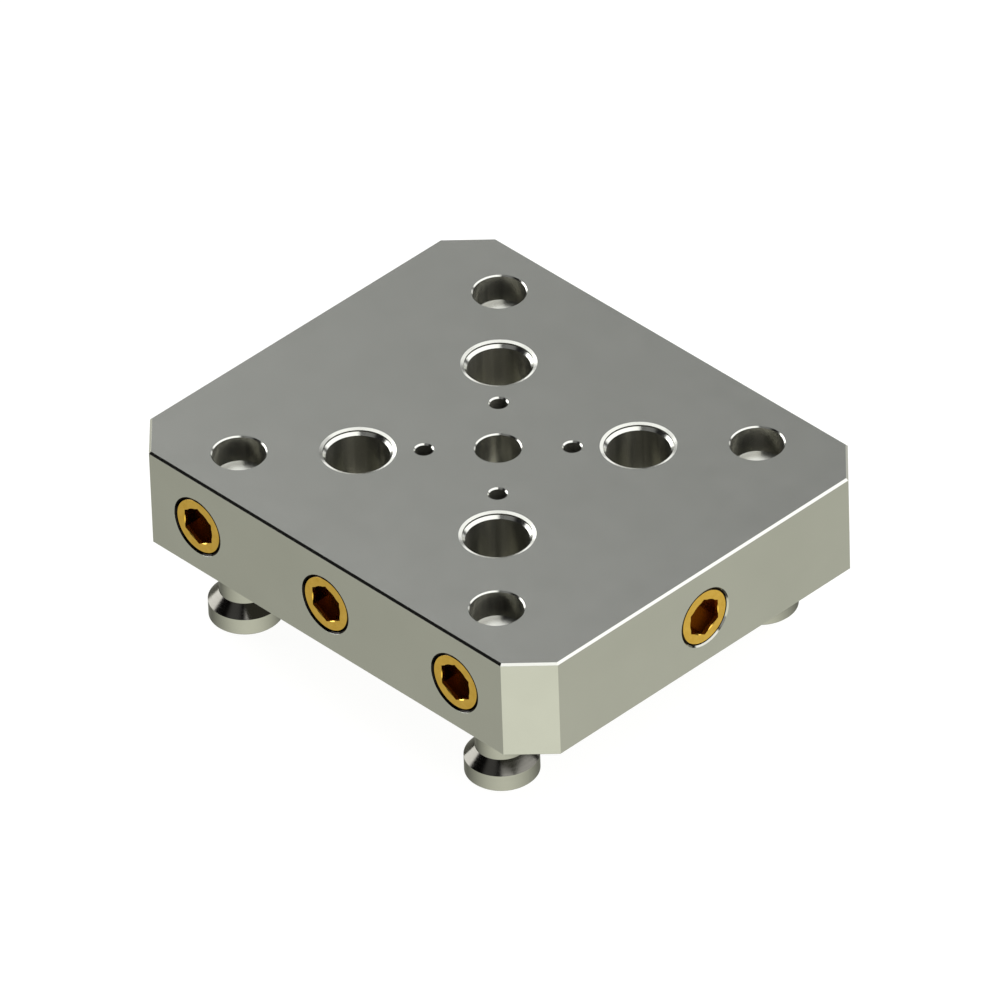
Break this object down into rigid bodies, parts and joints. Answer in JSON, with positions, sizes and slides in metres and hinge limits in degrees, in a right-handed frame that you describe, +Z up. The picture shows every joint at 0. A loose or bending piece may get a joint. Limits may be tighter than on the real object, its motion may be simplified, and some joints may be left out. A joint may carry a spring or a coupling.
{
  "type": "quick change fixture base adapter",
  "caption": "Rectangular steel quick change adapter plate with receiver bores on top, pull studs below and a screw-driven wedge lock inside.",
  "frame": {"origin": "under the middle of the plate, level with the bottoms of the pull studs", "axes": "+X along the plate's length, +Y to the rear, away from the drive screw's face, +Z up"},
  "size_m": [0.152, 0.128, 0.053],
  "materials": {
    "ground_steel": "ground steel",
    "stud_steel": "turned steel",
    "gold_screw": "gold zinc coated steel",
    "wedge_steel": "hardened steel, ground",
    "pin_steel": "hardened steel, ground",
    "black_screw": "black oxide steel"
  },
  "bodies": {
    "base": {"adapter_plate": "ground_steel", "front_left_plug": "gold_screw", "front_right_plug": "gold_screw", "side_plug": "gold_screw", "pull_stud_front_left": "stud_steel", "pull_stud_front_right": "stud_steel", "pull_stud_rear_left": "stud_steel", "pull_stud_rear_right": "stud_steel", "stud_screw_front_left": "black_screw", "stud_screw_front_right": "black_screw", "stud_screw_rear_left": "black_screw", "stud_screw_rear_right": "black_screw"},
    "drive_wedge": {"drive_wedge": "wedge_steel"},
    "drive_screw": {"drive_screw": "gold_screw"},
    "cross_rod_left": {"cross_rod_left": "wedge_steel"},
    "cross_rod_right": {"cross_rod_right": "wedge_steel"},
    "wedge_piston_front_left": {"wedge_piston_front_left": "wedge_steel"},
    "locking_pin_front_left": {"locking_pin_front_left": "pin_steel"},
    "wedge_piston_front_right": {"wedge_piston_front_right": "wedge_steel"},
    "locking_pin_front_right": {"locking_pin_front_right": "pin_steel"},
    "wedge_piston_rear_left": {"wedge_piston_rear_left": "wedge_steel"},
    "locking_pin_rear_left": {"locking_pin_rear_left": "pin_steel"},
    "wedge_piston_rear_right": {"wedge_piston_rear_right": "wedge_steel"},
    "locking_pin_rear_right": {"locking_pin_rear_right": "pin_steel"}
  },
  "joints": [
    {"name": "wedge_slide", "type": "slide", "parent": "base", "child": "drive_wedge", "axis": [0, 1, 0], "range_m": [0, 0.004]},
    {"name": "screw_turn", "type": "hinge", "parent": "drive_wedge", "child": "drive_screw", "pos_m": [0, -0.0637, 0.0375], "axis": [0, 1, 0], "range_deg": [0, 720]},
    {"name": "cross_rod_left_slide", "type": "slide", "parent": "base", "child": "cross_rod_left", "axis": [-1, 0, 0], "range_m": [0, 0.004]},
    {"name": "cross_rod_right_slide", "type": "slide", "parent": "base", "child": "cross_rod_right", "axis": [1, 0, 0], "range_m": [0, 0.004]},
    {"name": "wedge_piston_front_left_slide", "type": "slide", "parent": "base", "child": "wedge_piston_front_left", "axis": [0, -1, 0], "range_m": [0, 0.004]},
    {"name": "locking_pin_front_left_slide", "type": "slide", "parent": "base", "child": "locking_pin_front_left", "axis": [1, 0, 0], "range_m": [0, 0.0028]},
    {"name": "wedge_piston_front_right_slide", "type": "slide", "parent": "base", "child": "wedge_piston_front_right", "axis": [0, -1, 0], "range_m": [0, 0.004]},
    {"name": "locking_pin_front_right_slide", "type": "slide", "parent": "base", "child": "locking_pin_front_right", "axis": [-1, 0, 0], "range_m": [0, 0.0028]},
    {"name": "wedge_piston_rear_left_slide", "type": "slide", "parent": "base", "child": "wedge_piston_rear_left", "axis": [0, 1, 0], "range_m": [0, 0.004]},
    {"name": "locking_pin_rear_left_slide", "type": "slide", "parent": "base", "child": "locking_pin_rear_left", "axis": [1, 0, 0], "range_m": [0, 0.0028]},
    {"name": "wedge_piston_rear_right_slide", "type": "slide", "parent": "base", "child": "wedge_piston_rear_right", "axis": [0, 1, 0], "range_m": [0, 0.004]},
    {"name": "locking_pin_rear_right_slide", "type": "slide", "parent": "base", "child": "locking_pin_rear_right", "axis": [-1, 0, 0], "range_m": [0, 0.0028]}
  ],
  "couplings": [
    {"joint": "screw_turn", "follows": "wedge_slide", "rad_per_m": 3141.6},
    {"joint": "cross_rod_left_slide", "follows": "wedge_slide", "ratio": 1},
    {"joint": "cross_rod_right_slide", "follows": "wedge_slide", "ratio": 1},
    {"joint": "wedge_piston_front_left_slide", "follows": "wedge_slide", "ratio": 1},
    {"joint": "locking_pin_front_left_slide", "follows": "wedge_slide", "ratio": 0.7},
    {"joint": "wedge_piston_front_right_slide", "follows": "wedge_slide", "ratio": 1},
    {"joint": "locking_pin_front_right_slide", "follows": "wedge_slide", "ratio": 0.7},
    {"joint": "wedge_piston_rear_left_slide", "follows": "wedge_slide", "ratio": 1},
    {"joint": "locking_pin_rear_left_slide", "follows": "wedge_slide", "ratio": 0.7},
    {"joint": "wedge_piston_rear_right_slide", "follows": "wedge_slide", "ratio": 1},
    {"joint": "locking_pin_rear_right_slide", "follows": "wedge_slide", "ratio": 0.7}
  ]
}
